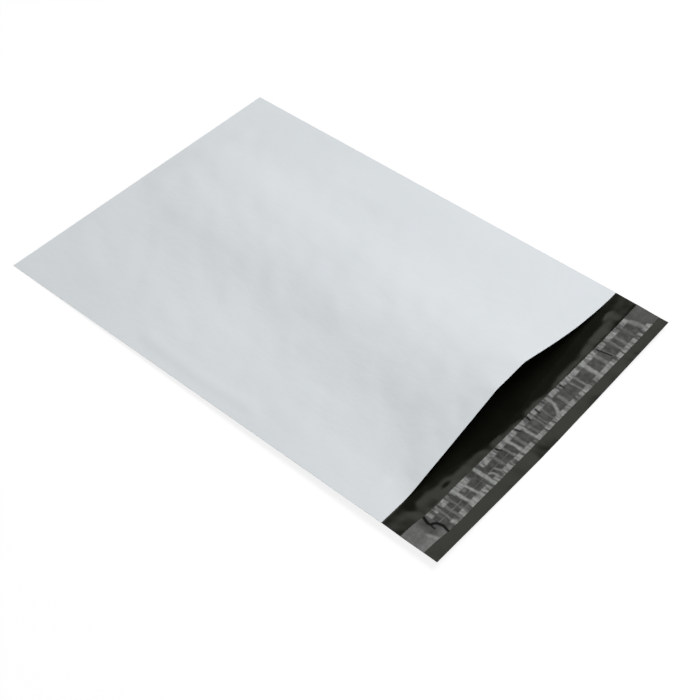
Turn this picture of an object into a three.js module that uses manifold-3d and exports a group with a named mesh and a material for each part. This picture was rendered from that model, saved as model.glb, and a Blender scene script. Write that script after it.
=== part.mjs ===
// Poly mailing bag, empty, lying on its back with its mouth propped open.
// One sheet of film is folded across the closed end and welded along both sides. The back panel runs on
// past the mouth as a lip, which carries a band of hot-melt adhesive under a release liner.
// Millimetres. X runs across the bag, +Y to the closed end, -Y to the lip, +Z up from the floor.
import * as THREE from "three";
import { LoftGeometry } from "three/addons/geometries/LoftGeometry.js";
import { mergeVertices } from "three/addons/utils/BufferGeometryUtils.js";
import Module from "manifold-3d";

const { clamp, lerp, smoothstep } = THREE.MathUtils;

// Film and pouch
const BAG_WIDTH = 305; // from side to side
const POCKET_LENGTH = 406; // closed end to the mouth's cut edge
const LIP_LENGTH = 51; // back panel past the mouth's cut edge
const FILM = 0.06; // thickness of the film
const SIDE_WELD = 2; // band along each side where both panels are fused
const PANEL_GAP = 0.15; // space between the panels at the welds and inside the fold

// Back panel: it lies flat at the closed end, and its sides rise towards the mouth and along the lip
const SIDE_LIFT = 6.5; // height of both sides at the mouth and the lip
const LIFT_START = 150; // distance from the fold at which the sides leave the floor
const VALLEY_SHIFT = -15; // middle of the strip that stays on the floor
const VALLEY_WIDTH = 24; // width of that strip

// Slack: the little air that is left between the panels where they lie flat
const SLACK_RISE = 0.9;
const SLACK_RUN = 60; // distance from a weld in which the slack rises
const FOLD_RUN = 35; // distance from the fold in which it rises

// Ridge: the front panel stands up in a flat-topped ridge that ends in the open mouth
const MOUTH_RISE = 32.8; // height of the ridge at the mouth's cut edge, over the slack
const PILLOW_RISE = 9; // height of the soft pillow that it starts from
const PILLOW_RUN = 105; // distance from the fold in which the pillow rises
const MOUTH_CLIMB = 2.95; // power of the climb from the pillow to the mouth
const CREST_WIDTH_MOUTH = 35; // flat top of the ridge, between its two creases
const CREST_WIDTH_BACK = 81;
const CREST_SHIFT_BACK = 28; // the crest wanders to +X towards the fold
const CREASE_ROUND = 6.5; // height over which a crease rounds off
const CREASE_ROUND_MOUTH = 1.2; // the same at the mouth's cut edge
const CREASE_RUN = 40; // distance from the mouth in which the creases sharpen
const LEFT_SLOPE = 0.315; // fall of the ridge's two sides
const RIGHT_SLOPE = 0.356;
const LEFT_FOOT_BACK = 1.1; // how softly each side runs out, as a share of the ridge's height
const LEFT_FOOT_MOUTH = 0.1;
const RIGHT_FOOT_BACK = 0.8;
const RIGHT_FOOT_MOUTH = 0.5;
const SIDE_RUN = 16; // distance from a weld in which the ridge has to end

// Adhesive and liner on the lip
const LINER_WIDTH = 21.5;
const LINER_MARGIN = 10; // bare film from the liner to the lip's end
const LINER_FILM = 0.05; // thickness of the liner
const ADHESIVE_WIDTH = 12.5;
const ADHESIVE_FILM = 0.05; // thickness of the adhesive
const ADHESIVE_START = 26; // bare film from the -X side to the adhesive
const ADHESIVE_STOP = 14; // bare film from the adhesive to the +X side
const LAYER_GAP = 0.02; // clearance between film, adhesive and liner
const BORDER_RISE = 0.15; // the liner's dry borders stand off the film
const BORDER_STEP = 1.2; // width of the step from a border down to the adhesive
const RUNG_RISE = 0.2; // cross ridges where the liner has let go of the adhesive
const RUNG_HALF = 1.8; // half the width of a cross ridge
const RUNG_PLACES = [8, 30, 40, 56, 68, 87, 93, 111, 124, 137, 146, 172, 178, 195, 211, 236, 249];

// Facets
const CELLS_ACROSS = 42; // along X between the welds
const CELLS_ALONG = 24; // along Y on the front panel
const CELLS_CLOSER = 1.35; // power that draws the cells together near the fold
const RUNG_CELLS = 4; // along X on a cross ridge

const SIDE = BAG_WIDTH / 2;
const WELD_LINE = SIDE - SIDE_WELD;
const CLOSED_END = (POCKET_LENGTH + LIP_LENGTH) / 2;
const MOUTH = CLOSED_END - POCKET_LENGTH;
const LIP_END = MOUTH - LIP_LENGTH;
const LIFT_LINE = CLOSED_END - LIFT_START;
const VALLEY_LEFT = VALLEY_SHIFT - VALLEY_WIDTH / 2;
const VALLEY_RIGHT = VALLEY_SHIFT + VALLEY_WIDTH / 2;
const LINER_MIDDLE = LIP_END + LINER_MARGIN + LINER_WIDTH / 2;
const ADHESIVE_LEFT = -SIDE + ADHESIVE_START;
const ADHESIVE_RIGHT = SIDE - ADHESIVE_STOP;

const wasm = await Module();
wasm.setup();

function solidOf(geometry) {
  const bare = new THREE.BufferGeometry();
  bare.setAttribute("position", geometry.getAttribute("position"));
  bare.setIndex(geometry.index);
  const merged = mergeVertices(bare);
  const vertProperties = merged.getAttribute("position").array;
  const triVerts = new Uint32Array(merged.index.array);
  return new wasm.Manifold(new wasm.Mesh({ numProp: 3, vertProperties, triVerts }));
}

function geometryOf(solid) {
  const { vertProperties, triVerts } = solid.getMesh();
  const geometry = new THREE.BufferGeometry();
  geometry.setAttribute("position", new THREE.BufferAttribute(vertProperties, 3));
  geometry.setIndex(new THREE.BufferAttribute(triVerts, 1));
  geometry.computeVertexNormals();
  return geometry;
}

function loft(sections) {
  return new LoftGeometry(sections, { capStart: true, capEnd: true });
}

// The lesser of two heights, with the corner between them rounded off over a height of round.
function softMin(a, b, round) {
  const near = Math.max(round - Math.abs(a - b), 0) / round;
  return Math.min(a, b) - (near * near * round) / 4;
}

function softMax(a, b, round) {
  return -softMin(-a, -b, round);
}

// Height of the back panel's underside.
function backHeight(x, y) {
  const left = (VALLEY_LEFT - x) / (VALLEY_LEFT + SIDE);
  const right = (x - VALLEY_RIGHT) / (SIDE - VALLEY_RIGHT);
  const along = clamp((LIFT_LINE - y) / (LIFT_LINE - MOUTH), 0, 1);
  return SIDE_LIFT * Math.max(left, right, 0) * along;
}

// A rise from 0 that levels off at 1.
function swell(share) {
  return 1 - (1 - Math.min(share, 1)) ** 2;
}

// Height of the ridge's crest at a distance from the fold.
function crestRise(fromFold) {
  const climb = (fromFold / POCKET_LENGTH) ** MOUTH_CLIMB;
  return PILLOW_RISE * swell(fromFold / PILLOW_RUN) + (MOUTH_RISE - PILLOW_RISE) * climb;
}

// Height of the ridge at a point of the front panel: flat crest, two creases and two sloping sides.
function ridgeLift(x, fromFold) {
  const along = fromFold / POCKET_LENGTH;
  const rise = crestRise(fromFold);
  const off = x - CREST_SHIFT_BACK * (1 - along);
  const slope = off < 0 ? LEFT_SLOPE : RIGHT_SLOPE;
  const footBack = off < 0 ? LEFT_FOOT_BACK : RIGHT_FOOT_BACK;
  const footMouth = off < 0 ? LEFT_FOOT_MOUTH : RIGHT_FOOT_MOUTH;
  const foot = lerp(footBack, footMouth, along * along);
  const fall = slope * (Math.abs(off) - lerp(CREST_WIDTH_BACK, CREST_WIDTH_MOUTH, along) / 2);
  const fromMouth = smoothstep(POCKET_LENGTH - fromFold, 0, CREASE_RUN);
  const crest = softMin(rise, rise - fall, lerp(CREASE_ROUND_MOUTH, CREASE_ROUND, fromMouth));
  return rise > 0 ? softMax(crest, 0, foot * rise) : 0;
}

// Space between the two panels.
function panelSpace(x, y) {
  const fromFold = CLOSED_END - y;
  const fromWeld = WELD_LINE - Math.abs(x);
  const slack = SLACK_RISE * smoothstep(fromWeld, 0, SLACK_RUN) * swell(fromFold / FOLD_RUN);
  return PANEL_GAP + slack + ridgeLift(x, fromFold) * smoothstep(fromWeld, 0, SIDE_RUN);
}

// Points up the front panel's inside, from the fold to the mouth.
function frontLine(x, lift) {
  const line = [];
  for (let i = 0; i <= CELLS_ALONG; i += 1) {
    const y = CLOSED_END - POCKET_LENGTH * (i / CELLS_ALONG) ** CELLS_CLOSER;
    line.push(new THREE.Vector3(x, y, backHeight(x, y) + FILM + panelSpace(x, y) + lift));
  }
  return line;
}

function backPoint(x, y, lift) {
  return new THREE.Vector3(x, y, backHeight(x, y) + lift);
}

// Outline of the closed bag at one place across it, with the lip past the mouth.
function bagSection(x) {
  return [
    backPoint(x, LIP_END, 0),
    backPoint(x, MOUTH, 0),
    backPoint(x, LIFT_LINE, 0),
    backPoint(x, CLOSED_END, 0),
    ...frontLine(x, FILM),
    backPoint(x, MOUTH, FILM),
    backPoint(x, LIP_END, FILM),
  ];
}

// Outline of the room inside the bag at one place across it, running out through the mouth.
function roomSection(x) {
  const ceiling = frontLine(x, 0);
  ceiling[0].y -= FILM;
  const mouth = ceiling[CELLS_ALONG];
  return [
    backPoint(x, MOUTH - PANEL_GAP, FILM + PANEL_GAP / 2),
    backPoint(x, MOUTH, FILM),
    backPoint(x, LIFT_LINE, FILM),
    backPoint(x, CLOSED_END - FILM, FILM),
    ...ceiling,
    new THREE.Vector3(x, MOUTH - PANEL_GAP, mouth.z),
  ];
}

// Places across the bag at which its outline is drawn, from weld to weld.
function placesAcross() {
  const places = [VALLEY_LEFT, VALLEY_RIGHT];
  for (let i = 0; i <= CELLS_ACROSS; i += 1) {
    places.push(lerp(-WELD_LINE, WELD_LINE, i / CELLS_ACROSS));
  }
  return places.sort((a, b) => a - b);
}

function bagFilm() {
  const places = placesAcross();
  const bag = solidOf(loft([-SIDE, ...places, SIDE].map(bagSection)));
  const room = solidOf(loft(places.map(roomSection)));
  return geometryOf(bag.subtract(room));
}

// The adhesive follows the film at the places where the film's outline is drawn.
function adhesiveStrip() {
  const within = placesAcross().filter((x) => x > ADHESIVE_LEFT && x < ADHESIVE_RIGHT);
  const low = LINER_MIDDLE - ADHESIVE_WIDTH / 2;
  const high = LINER_MIDDLE + ADHESIVE_WIDTH / 2;
  const under = FILM + LAYER_GAP;
  const sections = [ADHESIVE_LEFT, ...within, ADHESIVE_RIGHT].map((x) => [
    backPoint(x, low, under),
    backPoint(x, high, under),
    backPoint(x, high, under + ADHESIVE_FILM),
    backPoint(x, low, under + ADHESIVE_FILM),
  ]);
  return loft(sections);
}

// How far the liner stands off the adhesive at one place along it.
function rungRise(x) {
  const rises = RUNG_PLACES.map((place) => {
    const off = Math.min(Math.abs(x - ADHESIVE_LEFT - place) / RUNG_HALF, 1);
    return (RUNG_RISE * (1 + Math.cos(Math.PI * off))) / 2;
  });
  return x < ADHESIVE_RIGHT ? Math.max(...rises) : 0;
}

// The liner's outline at one place along it: two dry borders, and the strip stuck down between them.
function linerSection(x) {
  const floor = FILM + ADHESIVE_FILM + 2 * LAYER_GAP;
  const rise = rungRise(x);
  const border = Math.max(rise, BORDER_RISE);
  const edge = LINER_WIDTH / 2;
  const stuck = ADHESIVE_WIDTH / 2;
  const under = [
    backPoint(x, LINER_MIDDLE - edge, floor + border),
    backPoint(x, LINER_MIDDLE - stuck, floor + border),
    backPoint(x, LINER_MIDDLE - stuck + BORDER_STEP, floor + rise),
    backPoint(x, LINER_MIDDLE + stuck - BORDER_STEP, floor + rise),
    backPoint(x, LINER_MIDDLE + stuck, floor + border),
    backPoint(x, LINER_MIDDLE + edge, floor + border),
  ];
  const over = under.map((point) => new THREE.Vector3(x, point.y, point.z + LINER_FILM));
  return [...under, ...over.reverse()];
}

function releaseLiner() {
  const places = [-SIDE, VALLEY_LEFT, VALLEY_RIGHT, SIDE];
  for (const place of RUNG_PLACES) {
    for (let i = 0; i <= RUNG_CELLS; i += 1) {
      places.push(ADHESIVE_LEFT + place + RUNG_HALF * ((2 * i) / RUNG_CELLS - 1));
    }
  }
  const within = places.filter((x) => Math.abs(x) <= SIDE).sort((a, b) => a - b);
  return loft(within.map(linerSection));
}

const filmFinish = new THREE.MeshStandardMaterial({ color: 0xe3e8ea, roughness: 0.4, metalness: 0 });
const adhesiveFinish = new THREE.MeshStandardMaterial({ color: 0x57564f, roughness: 0.2, metalness: 0 });
const linerFinish = new THREE.MeshStandardMaterial({ color: 0x9da09d, roughness: 0.35, metalness: 0 });

const bag = new THREE.Group();

function addPiece(name, geometry, finish) {
  const piece = new THREE.Mesh(geometry, finish);
  piece.name = name;
  bag.add(piece);
}

addPiece("bag_film", bagFilm(), filmFinish);
addPiece("adhesive_strip", adhesiveStrip(), adhesiveFinish);
addPiece("release_liner", releaseLiner(), linerFinish);

export default bag;
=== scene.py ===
# Poly mailing bag: one folded and welded sheet of white and black film, with the adhesive and the
# liner on its lip. The bag's sizes are in millimetres up to the point where a vertex is placed.
import math
from collections import namedtuple

import bmesh
import bpy
from mathutils import Matrix, Vector, noise


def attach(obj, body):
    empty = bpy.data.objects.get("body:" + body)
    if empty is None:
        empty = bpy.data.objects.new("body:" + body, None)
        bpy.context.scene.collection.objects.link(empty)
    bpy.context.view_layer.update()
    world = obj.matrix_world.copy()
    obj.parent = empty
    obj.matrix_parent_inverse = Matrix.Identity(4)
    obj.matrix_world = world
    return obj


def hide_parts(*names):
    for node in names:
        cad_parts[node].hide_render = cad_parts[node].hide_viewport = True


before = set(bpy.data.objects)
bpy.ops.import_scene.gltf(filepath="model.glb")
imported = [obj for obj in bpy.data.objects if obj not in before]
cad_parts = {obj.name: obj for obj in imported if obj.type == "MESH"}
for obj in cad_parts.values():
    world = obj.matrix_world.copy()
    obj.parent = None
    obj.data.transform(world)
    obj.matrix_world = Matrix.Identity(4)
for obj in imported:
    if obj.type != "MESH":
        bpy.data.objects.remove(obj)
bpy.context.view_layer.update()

MM = 0.001

# Film and pouch, as in the solids
BAG_WIDTH = 305
POCKET_LENGTH = 406
LIP_LENGTH = 51
FILM = 0.06
SIDE_WELD = 2
PANEL_GAP = 0.15

# Back panel: flat at the closed end, with sides that rise evenly to the mouth and stay up along the lip
SIDE_LIFT = 6.5
VALLEY_SHIFT = -15
VALLEY_WIDTH = 24

# Front panel: slack, and the ridge that ends in the open mouth
SLACK_RISE = 0.9
SLACK_RUN = 60
FOLD_RUN = 35
SPACE_ROUND = 0.2
MOUTH_RISE = 32.8
PILLOW_RISE = 9
PILLOW_RUN = 105
MOUTH_CLIMB = 2.95
CREST_WIDTH_MOUTH = 35
CREST_WIDTH_BACK = 81
CREST_SHIFT_BACK = 28
CREASE_ROUND = 6.5
CREASE_ROUND_MOUTH = 1.2
CREASE_RUN = 40
LEFT_SLOPE = 0.315
RIGHT_SLOPE = 0.356
LEFT_FOOT_BACK = 1.1
LEFT_FOOT_MOUTH = 0.1
RIGHT_FOOT_BACK = 0.8
RIGHT_FOOT_MOUTH = 0.5
SIDE_RUN = 16

# Adhesive and liner
LINER_WIDTH = 21.5
LINER_MARGIN = 10
LINER_FILM = 0.05
ADHESIVE_WIDTH = 12.5
ADHESIVE_FILM = 0.05
ADHESIVE_START = 26
ADHESIVE_STOP = 14
LAYER_GAP = 0.02

SIDE = BAG_WIDTH / 2
WELD_LINE = SIDE - SIDE_WELD
CLOSED_END = (POCKET_LENGTH + LIP_LENGTH) / 2
MOUTH = CLOSED_END - POCKET_LENGTH
LIP_END = MOUTH - LIP_LENGTH
VALLEY_LEFT = VALLEY_SHIFT - VALLEY_WIDTH / 2
VALLEY_RIGHT = VALLEY_SHIFT + VALLEY_WIDTH / 2
LINER_MIDDLE = LIP_END + LINER_MARGIN + LINER_WIDTH / 2

# Mesh of the film: columns across the blank, rows along each panel and along the lip
FILM_COLUMNS = 122
PANEL_ROWS = 140
LIP_ROWS = 44
FOLD_ROW = PANEL_ROWS
LIP_ROW = 2 * PANEL_ROWS + 1
FILM_ROWS = LIP_ROW + LIP_ROWS
# Its edges that bend by more than this, in radians, are drawn sharp
SHARP_BEND = 0.6

# Mesh of the liner and of the adhesive
LINER_COLUMNS = 610
LINER_ROWS = 44
ADHESIVE_COLUMNS = 212
ADHESIVE_ROWS = 10

# Crinkles of the front panel: height, lean along the bag, size of the bumps, seed
CRINKLES = [(0.8, 0.6, 46, 1.3), (0.8, -0.5, 21, 5.9)]
# Share of them that is left at the rim of the mouth, and the run over which they grow from there
RIM_CRINKLE = 0.3
RIM_RUN = 30
# Dents of the front panel, and bulges with a minus: runs of points in millimetres from the left side and
# from the mouth, with depth and width. They grow over their run from the side welds
DENTS = [
    ([(110, 16), (101, 10)], 0.75, 5),
    ([(64, 25), (80, 16)], 0.7, 5),
    ([(34, 17), (42, 10)], 0.6, 5),
    ([(17, 258), (13, 200), (17, 145)], -1, 7),
    ([(98, 105), (107, 56), (110, 32)], -1.1, 17),
    ([(152, 388), (255, 376)], -0.5, 8),
]
DENT_RUN = 12

# Ripples of the lip: they begin inside the mouth and grow towards the lip.
# Layers of soft noise, here and below: strength, share of the second direction, size of the bumps, seed
LIP_RIPPLE = 0.1
RIPPLE_MEAN = 0.5
RIPPLE_INSIDE = 40
RIPPLE_RUN = 60
RIPPLE_LAYERS = [(0.7, 0.25, 19, 3.1), (0.2, 0.4, 8, 7.7)]

# Lip: its slopes past the mouth, before the liner and at its end, on the bag's left and right halves
MOUTH_SLOPE = (-0.042, -0.024)
LINER_SLOPE = (-0.012, 0.012)
END_SLOPE = (0.008, 0.029)
END_LAYERS = [(0.008, 0, 13, 8.8), (0.004, 0, 5, 2.1)]
SLOPE_BLEND = 4
# The two ends of the lip are creased off as flaps, with slopes of their own
FLAP_MOUTH_SLOPE = (-0.03, -0.009)
FLAP_LINER_SLOPE = (-0.018, 0.004)
FLAP_LEFT = 20
FLAP_RIGHT = 285
FLAP_CREASE = 2
# The film is pinched up beside the right flap: place, height, width before and after it, and where the
# pinch rises and falls past the mouth
PINCH_PLACE = 280.3
PINCH_HEIGHT = 0.14
PINCH_WIDTHS = (7, 3.2)
PINCH_START = (6, 11)
PINCH_STOP = (14, 36)
# A hump in the valley: it grows over its run up to the mouth, stays along the lip, and fades out between
# two distances from the valley's middle
VALLEY_HUMP = 0.45
HUMP_SIDES = (20, 60)
HUMP_RUN = 60
# The lip turns three times: first at the places below, then before and after the adhesive
TURN_ROUND = 3
INNER_TURN = 21
OUTER_TURN = 38
# Where it first turns up: millimetres from the bag's left side and past the mouth
FIRST_TURNS = [
    (0, 4.5), (12, 5.5), (17, 6), (21, 8.5), (24.5, 12), (26.5, 10.5), (30, 6), (44, 6.3), (50, 7.2),
    (56, 8.2), (64, 8.2), (70, 9.4), (75, 10.6), (84, 10.2), (90, 9.6), (97, 9.4), (104, 11.6),
    (108, 13.6), (112, 12), (120, 11.6), (126, 13), (131, 14.6), (137, 14), (143, 15), (147, 17),
    (151, 16.5), (156, 13.3), (160, 15), (166, 13.6), (172, 14.8), (180, 16.4), (188, 16.2), (198, 14),
    (208, 13.3), (228, 13.8), (237, 12.2), (248, 10.4), (255, 9.9), (268, 9.9), (275, 9.4), (281, 7.6),
    (284, 7), (305, 5),
]
TURN_LAYERS = [(1.2, 0, 11, 4.9)]
# A dent in the lip: from the left side and past the mouth, half its size each way, depth
LIP_DENT = (59, 14.6, 4.5, 2.2, 0.07)

# Liner: how far it stands off where it isn't wetted by the adhesive
LINER_LIFT = 0.12
# It is laid a little askew: millimetres from the bag's left side and towards the mouth
LINER_DRIFT = [
    (0, 2), (13, 1.7), (27, 0.4), (41, 0), (60, 0.6), (100, 0.8), (130, 1.15), (150, 1), (181, 0.7),
    (195, 0.25), (209, -0.25), (237, -0.7), (255, -1.15), (280, -1.3), (305, -1),
]
# The outlines of its haze sway, along and across the liner
SWAY_ALONG = [(0.7, 1, 5.0, 2.2), (0.4, 1, 2.1, 8.4)]
SWAY_ACROSS = [(0.4, 1, 4.0, 5.5)]
# Where the adhesive's band begins and stops from the left side, and the slant of its stop
BAND_START = (26, 28.5)
BAND_STOP = (289.6, 291)
BAND_STOP_SLANT = 0.45
# Haze on the band where the liner is wetted
WETTED_HAZE = 0.07
WETTED_LAYERS = [(0.13, 1, 4.4, 9.3), (0.1, 0.3, 1.6, 2.9)]
# Cross rungs: millimetres from the bag's left side, slant, half width, strength
RUNGS = [
    (36.8, 1.0, 0.9, 0.4),
    (43.0, 0.5, 1.2, 0.35),
    (50.0, 0.0, 1.0, 0.32),
    (58.2, -1.6, 1.3, 1.0),
    (68.3, -2.8, 1.3, 1.0),
    (85.0, 0.5, 1.6, 1.0),
    (104.0, 0.0, 1.2, 0.42),
    (116.0, -1.5, 1.2, 0.5),
    (124.2, -1.0, 1.4, 1.0),
    (130.5, 0.0, 1.6, 0.4),
    (141.5, 0.0, 1.4, 0.85),
    (146.5, 0.0, 1.3, 0.3),
    (154.8, 0.0, 0.8, 0.35),
    (158.2, 0.0, 0.7, 0.32),
    (165.6, 1.0, 0.8, 0.28),
    (202.5, -1.0, 0.9, 0.45),
    (208.4, 0.0, 1.0, 0.48),
    (223.3, 0.0, 1.9, 0.95),
    (237.5, 0.0, 1.8, 0.42),
    (247.0, -2.0, 0.8, 0.2),
    (257.2, 0.0, 1.3, 0.38),
    (264.2, 0.0, 1.5, 0.4),
    (275.5, 0.0, 1.6, 0.2),
    (287.0, -5.0, 2.4, 0.5),
]
RUNG_LAYERS = [(0.35, 1, 2.6, 1.7)]
# Other lines along which it has let go: runs of points from the left side and from the liner's middle,
# half width, strength. Their reach is along the liner from the first point
LOOSE_LINES = [
    ([(88.8, -0.8), (91.2, -2.6), (92.2, -5.6)], 0.8, 0.8),
    ([(95.6, -0.6), (96.4, -3.6), (98.4, -7)], 0.9, 0.6),
    ([(177.2, 9), (176.8, 4), (176, 0.5), (173.5, -4), (169.5, -8.5)], 1.3, 0.85),
    ([(185.2, 3), (184.6, -8)], 1.7, 0.45),
]
LOOSE_REACH = 12
# Patches where it has let go between the rungs: place, from the liner's middle, radius, strength
PATCHES = [(63.8, 3.5, 2.2, 0.45), (145.2, 3.2, 1.3, 0.6)]
# Where these fade out, in half widths of a rung or line and in radii of a patch
LINE_FADE = (0.3, 1.8)
PATCH_FADE = (0.4, 1.3)
# A thin line along the liner's middle: its ends, place, half width, soft edge and haze
MIDDLE_ENDS = (27, 117)
MIDDLE_PLACE = -0.5
MIDDLE_HALF = 0.5
MIDDLE_SOFT = 0.3
MIDDLE_HAZE = 0.35
MIDDLE_LAYERS = [(0.25, 0, 7, 5.2)]
# Places at which the dry borders are pressed down, and half their widths, on the mouth's side and on
# the other, with the haze that they take away and their soft edge inside and outside the half width
INNER_BREAKS = [
    (32.2, 1.4), (39.4, 0.5), (51.5, 3.2), (78, 4.5), (89.8, 1.4), (112, 0.9), (137, 0.9), (151.9, 1.2),
    (162, 0.9), (172.5, 2.6), (179.5, 1), (191, 1), (194.6, 0.9), (218, 1.2), (243.8, 1.4), (255, 0.5),
    (269.5, 1.6), (275, 2.8),
]
OUTER_BREAKS = [
    (32, 3.6), (41.5, 2.8), (53, 2.8), (72.6, 0.8), (81.6, 1), (94.5, 1.3), (111.3, 1.5), (121.8, 1),
    (137.5, 2.6), (151.8, 1), (161.8, 1.3), (167.4, 0.5), (179, 1.5), (193.5, 3), (201, 0.5), (213, 2.6),
    (219, 0.6), (245.8, 1.5), (255.2, 0.6), (267.3, 0.6), (276, 3), (283.5, 2),
]
BREAK_LOSS = 0.58
BREAK_INSIDE = 0.7
BREAK_OUTSIDE = 0.9
# Dry borders: where they begin from the liner's middle, left and right of a step in that line, the step's
# ends, their soft edge, their haze, and the row of soft noise that they take
Border = namedtuple("Border", "left right step soft haze row breaks")
INNER_BORDER = Border(4.6, 5.4, (95, 115), 1.6, 0.7, 6, INNER_BREAKS)
OUTER_BORDER = Border(4.8, 5.7, (105, 125), 1.4, 0.74, 0, OUTER_BREAKS)
BORDER_CLOUD = [(0.5, 1, 4.2, 6.1)]
BORDER_GRAIN = [(0.7, 0.3, 1.5, 4.4)]
# Haze of the liner's two ends. The left one gains some away from the mouth, loses some towards the band
# and has a slanting streak
LEFT_END_HAZE = 0.34
LEFT_END_GAIN = 0.16
LEFT_END_GAIN_RUN = (2, 8)
LEFT_END_LOSS = 0.2
LEFT_END_LOSS_RUN = (13, 19)
STREAK_HAZE = 0.34
STREAK_PLACE = 13.6
STREAK_SLANT = 0.3
STREAK_FADE = (0.5, 2.6)
STREAK_RUN = (0, 4)
RIGHT_END_HAZE = 0.16
END_HAZE_LAYERS = [(0.1, 1, 6, 3.6)]
# Dark creases pressed into the liner: width, and a run of points from the left side and from its middle
CREASES = [
    (1.25, [(24.4, 10), (23.2, 7), (22.2, 4.2), (22.8, 1.8), (24.8, 1.6), (26.8, -0.2), (28, -4.8),
            (27.4, -7.5), (27, -10)]),
    (0.6, [(22.8, 1.8), (22, 0.2), (21.9, -2.4)]),
    (0.6, [(111.2, 9.8), (112.2, 7.4), (113.6, 5.0)]),
    (0.6, [(136.8, 9.4), (137.8, 5.2)]),
    (0.6, [(152.2, 9.8), (151.8, 6.0)]),
    (0.6, [(162.6, 9.6), (162, 4.6)]),
    (0.6, [(194.4, 9.2), (194.9, 5.8)]),
    (0.6, [(243.4, 9.2), (244.6, 2.0), (246, -4)]),
]
# How far beside its points a crease is looked for, and where it fades out, in widths
CREASE_REACH = 2
CREASE_FADE = (0.5, 1.5)


def lerp(a, b, t):
    return a + (b - a) * t


def clamp(x, low, high):
    return max(low, min(high, x))


def smoothstep(x, low, high):
    t = clamp((x - low) / (high - low), 0, 1)
    return t * t * (3 - 2 * t)


def fade(x, low, high):
    """1 up to low, 0 from high on."""
    return 1 - smoothstep(x, low, high)


def soft_min(a, b, round_off):
    """The smaller of two values, with the change from one to the other rounded off."""
    near = max(round_off - abs(a - b), 0) / round_off
    return min(a, b) - near * near * round_off / 4


def soft_max(a, b, round_off):
    return -soft_min(-a, -b, round_off)


def wave(a, b, size, seed):
    """Soft noise from -1 to 1 with bumps of about this size."""
    return noise.noise(Vector((a / size, b / size, seed)))


def uneven(level, a, b, layers):
    """A level with layers of soft noise on it."""
    for strength, share, size, seed in layers:
        level += strength * wave(a, share * b, size, seed)
    return level


def between(stops, place):
    """Value at a place from the left side, on the straight runs between the stops."""
    for (left, before), (right, after) in zip(stops, stops[1:]):
        if place <= right:
            return lerp(before, after, (place - left) / (right - left))
    return stops[-1][1]


def near_path(a, b, path):
    """Distance of a point from a run of points."""
    point = Vector((a, b))
    distances = []
    for start, end in zip(path, path[1:]):
        start, end = Vector(start), Vector(end)
        run = end - start
        share = clamp((point - start).dot(run) / run.length_squared, 0, 1)
        distances.append((point - start - run * share).length)
    return min(distances)


# Shape of the film

def lip_ripple(x, y):
    """Ripples across the lip, where the adhesive has puckered the film."""
    on_lip = smoothstep(MOUTH + RIPPLE_INSIDE - y, 0, RIPPLE_RUN)
    return LIP_RIPPLE * max(uneven(RIPPLE_MEAN, x, y, RIPPLE_LAYERS), 0) * on_lip


def lip_slopes(x):
    """Slopes of the lip past the mouth, before the liner and at its end."""
    place = x + SIDE
    on_right = 0
    for edge in (VALLEY_LEFT, VALLEY_RIGHT):
        on_right += smoothstep(x, edge - SLOPE_BLEND, edge + SLOPE_BLEND) / 2
    inside = smoothstep(place, FLAP_LEFT - FLAP_CREASE, FLAP_LEFT + FLAP_CREASE)
    inside *= fade(place, FLAP_RIGHT - FLAP_CREASE, FLAP_RIGHT + FLAP_CREASE)
    at_mouth = lerp(lerp(*FLAP_MOUTH_SLOPE, on_right), lerp(*MOUTH_SLOPE, on_right), inside)
    at_liner = lerp(lerp(*FLAP_LINER_SLOPE, on_right), lerp(*LINER_SLOPE, on_right), inside)
    at_end = uneven(lerp(*END_SLOPE, on_right), place, 0, END_LAYERS)
    return at_mouth, at_liner, at_end


def lip_pinch(place, past):
    """Height of the pinch beside the right flap."""
    off = (place - PINCH_PLACE) / PINCH_WIDTHS[place > PINCH_PLACE]
    height = PINCH_HEIGHT * math.exp(-off * off)
    return height * smoothstep(past, *PINCH_START) * fade(past, *PINCH_STOP)


def lip_dent(place, past):
    """Depth of the dent in the lip."""
    along, across, wide, deep, depth = LIP_DENT
    return depth * math.exp(-((place - along) / wide) ** 2 - ((past - across) / deep) ** 2)


def lip_turn(x, y):
    """Height of the lip, which dips past the mouth, turns up before the liner and turns again at its end.
    Its slope under the liner brings the end level with the mouth."""
    past = MOUTH - y
    hump = VALLEY_HUMP * fade(abs(x - VALLEY_SHIFT), *HUMP_SIDES) * smoothstep(past, -HUMP_RUN, 0)
    if past <= 0:
        return hump
    place = x + SIDE
    at_mouth, at_liner, at_end = lip_slopes(x)
    first_turn = uneven(between(FIRST_TURNS, place), place, 0, TURN_LAYERS)
    climb = at_mouth * first_turn + at_liner * (INNER_TURN - first_turn)
    climb += at_end * (LIP_LENGTH - OUTER_TURN)
    under_liner = -climb / (OUTER_TURN - INNER_TURN)
    height = at_mouth * past
    height += (at_liner - at_mouth) * soft_max(past - first_turn, 0, TURN_ROUND)
    height += (under_liner - at_liner) * soft_max(past - INNER_TURN, 0, TURN_ROUND)
    height += (at_end - under_liner) * soft_max(past - OUTER_TURN, 0, TURN_ROUND)
    return hump + height - lip_dent(place, past) + lip_pinch(place, past)


def back_height(x, y):
    """Height of the back panel's underside."""
    left = (VALLEY_LEFT - x) / (VALLEY_LEFT + SIDE)
    right = (x - VALLEY_RIGHT) / (SIDE - VALLEY_RIGHT)
    along = clamp((CLOSED_END - y) / POCKET_LENGTH, 0, 1)
    lift = SIDE_LIFT * max(left, right, 0) * along
    return max(lift + lip_ripple(x, y) + lip_turn(x, y), 0)


def swell(share):
    """A rise from 0 that levels off at 1."""
    return 1 - (1 - min(share, 1)) ** 2


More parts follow.
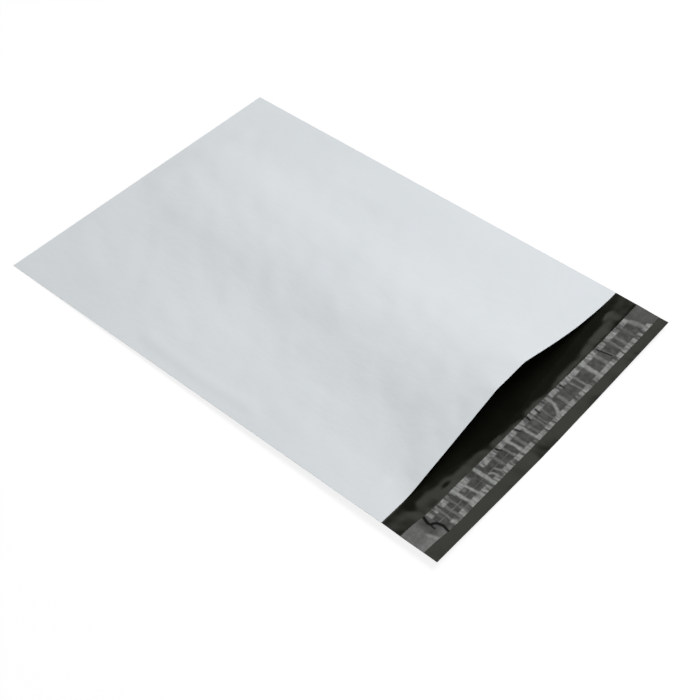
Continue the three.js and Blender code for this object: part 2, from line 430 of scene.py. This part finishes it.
def crest_rise(from_fold):
    """Height of the ridge's crest: a low pillow past the fold, and the climb to the mouth."""
    climb = (from_fold / POCKET_LENGTH) ** MOUTH_CLIMB
    return PILLOW_RISE * swell(from_fold / PILLOW_RUN) + (MOUTH_RISE - PILLOW_RISE) * climb


def ridge_lift(x, from_fold):
    """Height of the ridge: flat crest, two creases and two sloping sides."""
    along = from_fold / POCKET_LENGTH
    rise = crest_rise(from_fold)
    if rise <= 0:
        return 0
    off = x - CREST_SHIFT_BACK * (1 - along)
    slope = LEFT_SLOPE if off < 0 else RIGHT_SLOPE
    foot_back = LEFT_FOOT_BACK if off < 0 else RIGHT_FOOT_BACK
    foot_mouth = LEFT_FOOT_MOUTH if off < 0 else RIGHT_FOOT_MOUTH
    fall = slope * (abs(off) - lerp(CREST_WIDTH_BACK, CREST_WIDTH_MOUTH, along) / 2)
    from_mouth = smoothstep(POCKET_LENGTH - from_fold, 0, CREASE_RUN)
    crest = soft_min(rise, rise - fall, lerp(CREASE_ROUND_MOUTH, CREASE_ROUND, from_mouth))
    return soft_max(crest, 0, lerp(foot_back, foot_mouth, along * along) * rise)


def crinkle(x, y):
    """Shallow creasing of the front panel, left from packing. The rim of the mouth is drawn straighter."""
    creasing = 0
    for height, lean, size, seed in CRINKLES:
        creasing += height * wave(x + lean * y, y, size, seed)
    return creasing * lerp(RIM_CRINKLE, 1, smoothstep(y - MOUTH, 0, RIM_RUN))


def dent(x, y):
    """Depth of the dents, less the height of the bulges."""
    depth = 0
    for path, deep, width in DENTS:
        off = near_path(x + SIDE, y - MOUTH, path) / width
        depth += deep * math.exp(-off * off)
    return depth


def panel_space(x, y):
    """Space between the two panels."""
    from_fold = CLOSED_END - y
    from_weld = WELD_LINE - abs(x)
    inner = smoothstep(from_weld, 0, SLACK_RUN) * swell(from_fold / FOLD_RUN)
    slack = (SLACK_RISE + crinkle(x, y)) * inner - dent(x, y) * smoothstep(from_weld, 0, DENT_RUN)
    ridge = ridge_lift(x, from_fold) * smoothstep(from_weld, 0, SIDE_RUN)
    return PANEL_GAP + soft_max(slack + ridge, 0, SPACE_ROUND)


def front_height(x, y):
    """Height of the front panel's outside."""
    return back_height(x, y) + FILM + panel_space(x, y) + FILM


def place_on_blank(row):
    """Y of a row of the blank, and whether the row is on the front panel."""
    if row <= FOLD_ROW:
        return MOUTH + POCKET_LENGTH * row / PANEL_ROWS, True
    if row <= LIP_ROW:
        return CLOSED_END - POCKET_LENGTH * (row - FOLD_ROW - 1) / PANEL_ROWS, False
    return MOUTH - LIP_LENGTH * (row - LIP_ROW) / LIP_ROWS, False


def grid(columns, rows):
    """A flat unit blank, with its column and row numbers."""
    bm = bmesh.new()
    bmesh.ops.create_grid(bm, x_segments=columns, y_segments=rows, size=0.5)
    for edge in bm.edges:
        edge.smooth = not edge.is_boundary
    places = [(round((v.co.x + 0.5) * columns), round((v.co.y + 0.5) * rows)) for v in bm.verts]
    return bm, places


def keep(bm, name, *finishes):
    """Make a piece of a mesh, and let it ride on the root body."""
    for face in bm.faces:
        face.smooth = True
    mesh = bpy.data.meshes.new(name)
    bm.to_mesh(mesh)
    bm.free()
    piece = bpy.data.objects.new(name, mesh)
    bpy.context.scene.collection.objects.link(piece)
    for finish in finishes:
        mesh.materials.append(finish)
    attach(piece, "root")
    return piece


def thicken(piece, thickness, side):
    """Give a sheet its thickness, outward for side 1 and inward for side -1."""
    wall = piece.modifiers.new("thickness", "SOLIDIFY")
    wall.thickness = thickness * MM
    wall.offset = side
    wall.use_even_offset = True
    wall.use_quality_normals = True
    return wall


def join_side(bm, places, side):
    """Join the two panels along one side column of the blank, from the mouth to the fold."""
    row_of = {vert: row for vert, (column, row) in zip(bm.verts, places) if column == side}
    edges = []
    for edge in bm.edges:
        if all(vert in row_of for vert in edge.verts):
            low, high = sorted(row_of[vert] for vert in edge.verts)
            if high <= LIP_ROW and (low, high) != (FOLD_ROW, FOLD_ROW + 1):
                edges.append(edge)
    joined = bmesh.ops.bridge_loops(bm, edges=edges)
    outward = -1 if side == 0 else 1
    for face in joined["faces"]:
        face.normal_update()
        if face.normal.x * outward < 0:
            face.normal_flip()


def fold_film(white_outside, black_inside):
    """The blank is folded across the closed end, and its two panels are joined along the sides."""
    bm, places = grid(FILM_COLUMNS, FILM_ROWS)
    for vert, (column, row) in zip(bm.verts, places):
        x = BAG_WIDTH * (column / FILM_COLUMNS - 0.5)
        y, on_front = place_on_blank(row)
        z = front_height(x, y) if on_front else back_height(x, y)
        vert.co = Vector((x, y, z)) * MM
    for side in (0, FILM_COLUMNS):
        join_side(bm, places, side)
    bm.normal_update()
    for edge in bm.edges:
        if edge.is_boundary or edge.calc_face_angle() > SHARP_BEND:
            edge.smooth = False
    film = keep(bm, "mailing_bag_film", white_outside, black_inside)
    wall = thicken(film, FILM, -1)
    wall.material_offset = 1
    wall.material_offset_rim = 0
    return film


# Shape of the adhesive and the liner

def lip_top(x, y):
    return back_height(x, y) + FILM


def spread_adhesive(hot_melt):
    bm, places = grid(ADHESIVE_COLUMNS, ADHESIVE_ROWS)
    left = -SIDE + ADHESIVE_START
    right = SIDE - ADHESIVE_STOP
    for vert, (column, row) in zip(bm.verts, places):
        x = lerp(left, right, column / ADHESIVE_COLUMNS)
        y = LINER_MIDDLE + ADHESIVE_WIDTH * (row / ADHESIVE_ROWS - 0.5)
        vert.co = Vector((x, y, lip_top(x, y) + LAYER_GAP)) * MM
    strip = keep(bm, "hot_melt_strip", hot_melt)
    thicken(strip, ADHESIVE_FILM, 1)
    return strip


# Places on the liner: a is counted from the bag's left side, and b from the liner's middle towards the
# mouth. Haze is 0 where the liner is wetted and 1 where it stands off

def border_haze(a, b):
    """Haze of the dry borders along both sides of the adhesive."""
    border = INNER_BORDER if b > 0 else OUTER_BORDER
    start = lerp(border.left, border.right, smoothstep(a, *border.step))
    level = uneven(uneven(border.haze, a, border.row, BORDER_CLOUD), a, b, BORDER_GRAIN)
    for place, half in border.breaks:
        level -= BREAK_LOSS * fade(abs(a - place), half - BREAK_INSIDE, half + BREAK_OUTSIDE)
    return smoothstep(abs(b), start, start + border.soft) * level


def loose_haze(a, b):
    """Haze of the rungs, lines and patches where the liner has let go of the adhesive."""
    level = 0
    patchy = uneven(1, a, b, RUNG_LAYERS)
    for place, slant, half, strength in RUNGS:
        off = abs(a - place - slant * b / LINER_WIDTH) / half
        level = max(level, strength * patchy * fade(off, *LINE_FADE))
    for path, half, strength in LOOSE_LINES:
        if abs(a - path[0][0]) < LOOSE_REACH:
            level = max(level, strength * fade(near_path(a, b, path) / half, *LINE_FADE))
    for place, middle, radius, strength in PATCHES:
        off = math.hypot(a - place, b - middle) / radius
        level = max(level, strength * fade(off, *PATCH_FADE))
    if MIDDLE_ENDS[0] < a < MIDDLE_ENDS[1]:
        on_line = smoothstep(MIDDLE_HALF - abs(b - MIDDLE_PLACE), 0, MIDDLE_SOFT)
        level = max(level, uneven(MIDDLE_HAZE, a, 0, MIDDLE_LAYERS) * on_line)
    return level


def end_haze(a, b):
    """Haze of the liner's two ends, past the adhesive."""
    level = RIGHT_END_HAZE
    if a < SIDE:
        level = LEFT_END_HAZE + LEFT_END_GAIN * smoothstep(-b, *LEFT_END_GAIN_RUN)
        level -= LEFT_END_LOSS * smoothstep(a, *LEFT_END_LOSS_RUN)
        off_streak = abs(a + STREAK_SLANT * b - STREAK_PLACE)
        level += STREAK_HAZE * fade(off_streak, *STREAK_FADE) * smoothstep(-b, *STREAK_RUN)
    return uneven(level, a, b, END_HAZE_LAYERS)


def haze(a, b):
    """Haze at a place on the liner."""
    a += uneven(0, a, b, SWAY_ALONG)
    b += uneven(0, a, b, SWAY_ACROSS)
    on_band = smoothstep(a, *BAND_START) * fade(a + BAND_STOP_SLANT * b, *BAND_STOP)
    band = max(border_haze(a, b), uneven(WETTED_HAZE, a, b, WETTED_LAYERS), loose_haze(a, b))
    return clamp(lerp(end_haze(a, b), band, on_band), 0, 1)


def crease_mark(a, b):
    """Strength of the dark creases at a place on the liner."""
    mark = 0
    for width, path in CREASES:
        places = [place for place, _ in path]
        if min(places) - CREASE_REACH < a < max(places) + CREASE_REACH:
            mark = max(mark, fade(near_path(a, b, path) / width, *CREASE_FADE))
    return mark


def lay_liner(hazy_liner):
    bm, places = grid(LINER_COLUMNS, LINER_ROWS)
    haze_layer = bm.verts.layers.float.new("haze")
    crease_layer = bm.verts.layers.float.new("crease")
    over_adhesive = ADHESIVE_FILM + 2 * LAYER_GAP
    for vert, (column, row) in zip(bm.verts, places):
        x = BAG_WIDTH * (column / LINER_COLUMNS - 0.5)
        b = LINER_WIDTH * (row / LINER_ROWS - 0.5)
        y = LINER_MIDDLE + b + between(LINER_DRIFT, x + SIDE)
        level = haze(x + SIDE, b)
        mark = crease_mark(x + SIDE, b)
        vert[haze_layer] = level
        vert[crease_layer] = mark
        z = lip_top(x, y) + over_adhesive + LINER_LIFT * max(level, mark)
        vert.co = Vector((x, y, z)) * MM
    liner = keep(bm, "peel_off_liner", hazy_liner)
    thicken(liner, LINER_FILM, 1)
    return liner


# Finishes

# Sockets of a Mix node that hold colours
MIX_FIRST = 6
MIX_SECOND = 7
MIX_RESULT = 2
# Most of a noise texture lies between these
GRAIN_LOW = 0.3
GRAIN_HIGH = 0.7


class NodeTree:
    """Nodes of a material or of the world."""

    def __init__(self, owner):
        owner.use_nodes = True
        self.nodes = owner.node_tree.nodes
        self.links = owner.node_tree.links

    def node(self, kind, **values):
        made = self.nodes.new(kind)
        for key, value in values.items():
            setattr(made, key, value)
        return made

    def link(self, out, into):
        self.links.new(out, into)

    def either(self, first, second):
        """The larger of two values."""
        larger = self.node("ShaderNodeMath", operation="MAXIMUM")
        self.link(first, larger.inputs[0])
        self.link(second, larger.inputs[1])
        return larger.outputs[0]

    def span(self, source, low, high, start=0, stop=1, **values):
        """A value from start to stop spread over low to high."""
        spread = self.node("ShaderNodeMapRange", **values)
        for name, number in (("From Min", start), ("From Max", stop), ("To Min", low), ("To Max", high)):
            spread.inputs[name].default_value = number
        self.link(source, spread.inputs["Value"])
        return spread.outputs["Result"]

    def mix(self, share, first, second):
        blend = self.node("ShaderNodeMix", data_type="RGBA")
        self.link(share, blend.inputs["Factor"])
        for socket, colour in ((MIX_FIRST, first), (MIX_SECOND, second)):
            if isinstance(colour, tuple):
                blend.inputs[socket].default_value = (*colour, 1)
            else:
                self.link(colour, blend.inputs[socket])
        return blend.outputs[MIX_RESULT]


class Finish(NodeTree):
    """A material with one Principled shader."""

    def __init__(self, name):
        self.material = bpy.data.materials.new(name)
        super().__init__(self.material)
        self.shader = self.nodes["Principled BSDF"]

    def give(self, name, value):
        """Set an input of the shader, or link a node to it."""
        if isinstance(value, bpy.types.NodeSocket):
            self.link(value, self.shader.inputs[name])
        else:
            self.shader.inputs[name].default_value = value

    def grain(self, scale, detail, stretch=(1, 1, 1)):
        """Noise on the piece's own coordinates, with this many bumps to a metre."""
        place = self.node("ShaderNodeTexCoord")
        turn = self.node("ShaderNodeMapping")
        turn.inputs["Scale"].default_value = stretch
        speck = self.node("ShaderNodeTexNoise")
        speck.inputs["Scale"].default_value = scale
        speck.inputs["Detail"].default_value = detail
        self.link(place.outputs["Object"], turn.inputs["Vector"])
        self.link(turn.outputs["Vector"], speck.inputs["Vector"])
        return speck.outputs["Fac"]

    def vary(self, grain, low, high):
        """A value that varies with a grain from low to high."""
        return self.span(self.grain(*grain), low, high, GRAIN_LOW, GRAIN_HIGH)

    def cloud(self, grain, tones):
        """A colour that varies with a grain between two tones."""
        return self.mix(self.vary(grain, 0, 1), *tones)

    def relief(self, grain, depth, under=None):
        """Bump of this grain and of this depth in metres, over another one."""
        bump = self.node("ShaderNodeBump")
        bump.inputs["Strength"].default_value = 1
        bump.inputs["Distance"].default_value = depth
        self.link(self.grain(*grain), bump.inputs["Height"])
        if under is not None:
            self.link(under, bump.inputs["Normal"])
        return bump.outputs["Normal"]


# Grains are bumps to a metre, detail and, where they have one, stretch. Depths are in metres
FILM_IOR = 1.5
WHITE_TONES = ((0.735, 0.773, 0.806), (0.765, 0.802, 0.833))
WHITE_TONE_GRAIN = (9, 3)
WHITE_ROUGHNESS = (0.36, 0.5)
WHITE_ROUGHNESS_GRAIN = (60, 4)
WHITE_CREASE_GRAIN = (40, 3, (1, 0.6, 1))
WHITE_CREASE_DEPTH = 0.001
WHITE_FINE_GRAIN = (900, 2)
WHITE_FINE_DEPTH = 0.00001
BLACK_TONES = ((0.0062, 0.0062, 0.0044), (0.0088, 0.0088, 0.0066))
BLACK_TONE_GRAIN = (40, 3)
BLACK_ROUGHNESS = (0.05, 0.08)
BLACK_ROUGHNESS_GRAIN = (70, 3)
BLACK_CREASE_GRAIN = (45, 2, (1, 0.6, 1))
BLACK_CREASE_DEPTH = 0.00016
MELT_TONES = ((0.06, 0.058, 0.045), (0.1, 0.096, 0.08))
MELT_TONE_GRAIN = (200, 3)
MELT_ROUGHNESS = 0.2
MELT_FINE_GRAIN = (500, 2)
MELT_FINE_DEPTH = 0.00004
WETTED_TONES = ((0.005, 0.0052, 0.0046), (0.016, 0.0166, 0.015))
WETTED_GRAIN = (600, 2)
STANDING_TONES = ((0.21, 0.217, 0.209), (0.335, 0.344, 0.333))
STANDING_GRAIN = (350, 3)
CREASE_TONE = (0.004, 0.004, 0.004)
LINER_ROUGHNESS = (0.34, 0.48)
LINER_ROUGHNESS_GRAIN = (250, 2)
LINER_FINE_GRAIN = (450, 2, (1, 0.35, 1))
LINER_FINE_DEPTH = 0.00004
LINER_IOR = 1.42
LINER_SHINE = 0.46
CREASE_SHINE = 0.05


def white_film_finish():
    film = Finish("white_film")
    film.give("Base Color", film.cloud(WHITE_TONE_GRAIN, WHITE_TONES))
    film.give("Roughness", film.vary(WHITE_ROUGHNESS_GRAIN, *WHITE_ROUGHNESS))
    creasing = film.relief(WHITE_CREASE_GRAIN, WHITE_CREASE_DEPTH)
    film.give("Normal", film.relief(WHITE_FINE_GRAIN, WHITE_FINE_DEPTH, creasing))
    film.give("IOR", FILM_IOR)
    return film.material


def black_film_finish():
    film = Finish("black_film")
    film.give("Base Color", film.cloud(BLACK_TONE_GRAIN, BLACK_TONES))
    film.give("Roughness", film.vary(BLACK_ROUGHNESS_GRAIN, *BLACK_ROUGHNESS))
    film.give("Normal", film.relief(BLACK_CREASE_GRAIN, BLACK_CREASE_DEPTH))
    film.give("IOR", FILM_IOR)
    return film.material


def hot_melt_finish():
    melt = Finish("hot_melt")
    melt.give("Base Color", melt.cloud(MELT_TONE_GRAIN, MELT_TONES))
    melt.give("Roughness", MELT_ROUGHNESS)
    melt.give("Normal", melt.relief(MELT_FINE_GRAIN, MELT_FINE_DEPTH))
    return melt.material


def hazy_liner_finish():
    liner = Finish("hazy_liner")
    level = liner.node("ShaderNodeAttribute", attribute_name="haze").outputs["Fac"]
    mark = liner.node("ShaderNodeAttribute", attribute_name="crease").outputs["Fac"]
    wetted = liner.cloud(WETTED_GRAIN, WETTED_TONES)
    standing = liner.cloud(STANDING_GRAIN, STANDING_TONES)
    liner.give("Base Color", liner.mix(mark, liner.mix(level, wetted, standing), CREASE_TONE))
    liner.give("Roughness", liner.vary(LINER_ROUGHNESS_GRAIN, *LINER_ROUGHNESS))
    liner.give("Normal", liner.relief(LINER_FINE_GRAIN, LINER_FINE_DEPTH))
    liner.give("IOR", LINER_IOR)
    liner.give("Specular IOR Level", liner.span(mark, LINER_SHINE, CREASE_SHINE))
    return liner.material


# Camera, floor and light

CAMERA_PLACE = (-594.842, -517.17, 819.712)
CAMERA_AZIMUTH = -50.009
CAMERA_ELEVATION = 48.397
CAMERA_ROLL = 0.902
FOCAL_PIXELS = 1362.601
PICTURE_PIXELS = 700
# The camera was solved on the middles of pixels, and the lens counts from their corners
HALF_PIXEL = 0.5 / PICTURE_PIXELS
SENSOR = 36


def set_camera():
    lens = bpy.data.cameras.new("photo_view")
    lens.sensor_width = SENSOR
    lens.lens = SENSOR * FOCAL_PIXELS / PICTURE_PIXELS
    lens.shift_x = -HALF_PIXEL
    lens.shift_y = HALF_PIXEL
    lens.clip_start = 0.05
    lens.clip_end = 50
    camera = bpy.data.objects.new("photo_view", lens)
    bpy.context.scene.collection.objects.link(camera)
    azimuth = math.radians(CAMERA_AZIMUTH)
    elevation = math.radians(CAMERA_ELEVATION)
    roll = math.radians(CAMERA_ROLL)
    level = math.cos(elevation)
    back = Vector((math.sin(azimuth) * level, -math.cos(azimuth) * level, math.sin(elevation)))
    across = Vector((math.cos(azimuth), math.sin(azimuth), 0))
    upward = back.cross(across)
    right = math.cos(roll) * across + math.sin(roll) * upward
    up = math.cos(roll) * upward - math.sin(roll) * across
    turn = Matrix((right, up, back)).transposed().to_4x4()
    camera.matrix_world = Matrix.Translation(Vector(CAMERA_PLACE) * MM) @ turn
    bpy.context.scene.camera = camera


# Half the floor's size in metres, and its drop below the bag in millimetres
FLOOR_HALF = 4.0
FLOOR_DROP = 0.1
FLOOR_TONE = 0.22
FLOOR_ROUGHNESS = 0.9
FLOOR_GLOW = 0.83


def lay_floor():
    """White floor: it takes the bag's shadow, and a glow seen by the camera keeps the rest white."""
    bm = bmesh.new()
    bmesh.ops.create_grid(bm, x_segments=1, y_segments=1, size=FLOOR_HALF)
    for vert in bm.verts:
        vert.co.z = -FLOOR_DROP * MM
    mesh = bpy.data.meshes.new("studio_floor")
    bm.to_mesh(mesh)
    bm.free()
    floor = bpy.data.objects.new("studio_floor", mesh)
    bpy.context.scene.collection.objects.link(floor)
    paper = Finish("white_floor")
    paper.give("Base Color", (FLOOR_TONE, FLOOR_TONE, FLOOR_TONE, 1))
    paper.give("Roughness", FLOOR_ROUGHNESS)
    paper.give("Specular IOR Level", 0)
    paper.give("Emission Color", (1, 1, 1, 1))
    paper.give("Emission Strength", paper.span(seen_directly(paper), 0, FLOOR_GLOW))
    mesh.materials.append(paper.material)


def seen_directly(tree):
    """1 for camera, glossy and transmission rays, 0 for the light that falls on the bag."""
    rays = tree.node("ShaderNodeLightPath").outputs
    seen = tree.either(rays["Is Camera Ray"], rays["Is Glossy Ray"])
    return tree.either(seen, rays["Is Transmission Ray"])


AMBIENT = 0.39
# What gloss mirrors: a pale warm sweep, and a dim part of the room overhead around this direction
DIM_MIDDLE = (0.369, -0.527, 0.766)
SWEEP_EDGE = 0.634
DIM_EDGE = 0.651
SWEEP_GLOW = 0.93
DIM_GLOW = 0.045
ROOM_COLOUR = (1, 1, 1)
SWEEP_COLOUR = (1, 1, 0.9)


def set_world():
    world = bpy.data.worlds.new("studio")
    bpy.context.scene.world = world
    room = NodeTree(world)
    background = room.nodes["Background"]
    rays = room.node("ShaderNodeLightPath").outputs
    glossy = rays["Is Glossy Ray"]
    plain = room.span(room.either(rays["Is Camera Ray"], rays["Is Transmission Ray"]), AMBIENT, 1)
    direction = room.node("ShaderNodeTexCoord")
    towards = room.node("ShaderNodeVectorMath", operation="DOT_PRODUCT")
    towards.inputs[1].default_value = DIM_MIDDLE
    room.link(direction.outputs["Generated"], towards.inputs[0])
    mirrored = room.span(towards.outputs["Value"], SWEEP_GLOW, DIM_GLOW, SWEEP_EDGE, DIM_EDGE,
                         interpolation_type="SMOOTHSTEP")
    strength = room.node("ShaderNodeMix")
    room.link(glossy, strength.inputs["Factor"])
    room.link(plain, strength.inputs["A"])
    room.link(mirrored, strength.inputs["B"])
    room.link(strength.outputs["Result"], background.inputs["Strength"])
    room.link(room.mix(glossy, ROOM_COLOUR, SWEEP_COLOUR), background.inputs["Color"])


# Place and size in metres
KEY_PLACE = (0.57, -0.26, 1.43)
KEY_SIZE = 0.9
KEY_WATTS = 13.8


def hang_key_light():
    lamp = bpy.data.lights.new("key_softbox", "AREA")
    lamp.shape = "DISK"
    lamp.size = KEY_SIZE
    lamp.energy = KEY_WATTS
    lamp.color = (1, 1, 1)
    key = bpy.data.objects.new("key_softbox", lamp)
    bpy.context.scene.collection.objects.link(key)
    place = Vector(KEY_PLACE)
    key.matrix_world = Matrix.Translation(place) @ place.to_track_quat("Z", "Y").to_matrix().to_4x4()


set_camera()
lay_floor()
set_world()
hang_key_light()

film = fold_film(white_film_finish(), black_film_finish())
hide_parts("bag_film")
adhesive = spread_adhesive(hot_melt_finish())
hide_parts("adhesive_strip")
liner = lay_liner(hazy_liner_finish())
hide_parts("release_liner")

bpy.context.scene.view_settings.view_transform = "Standard"
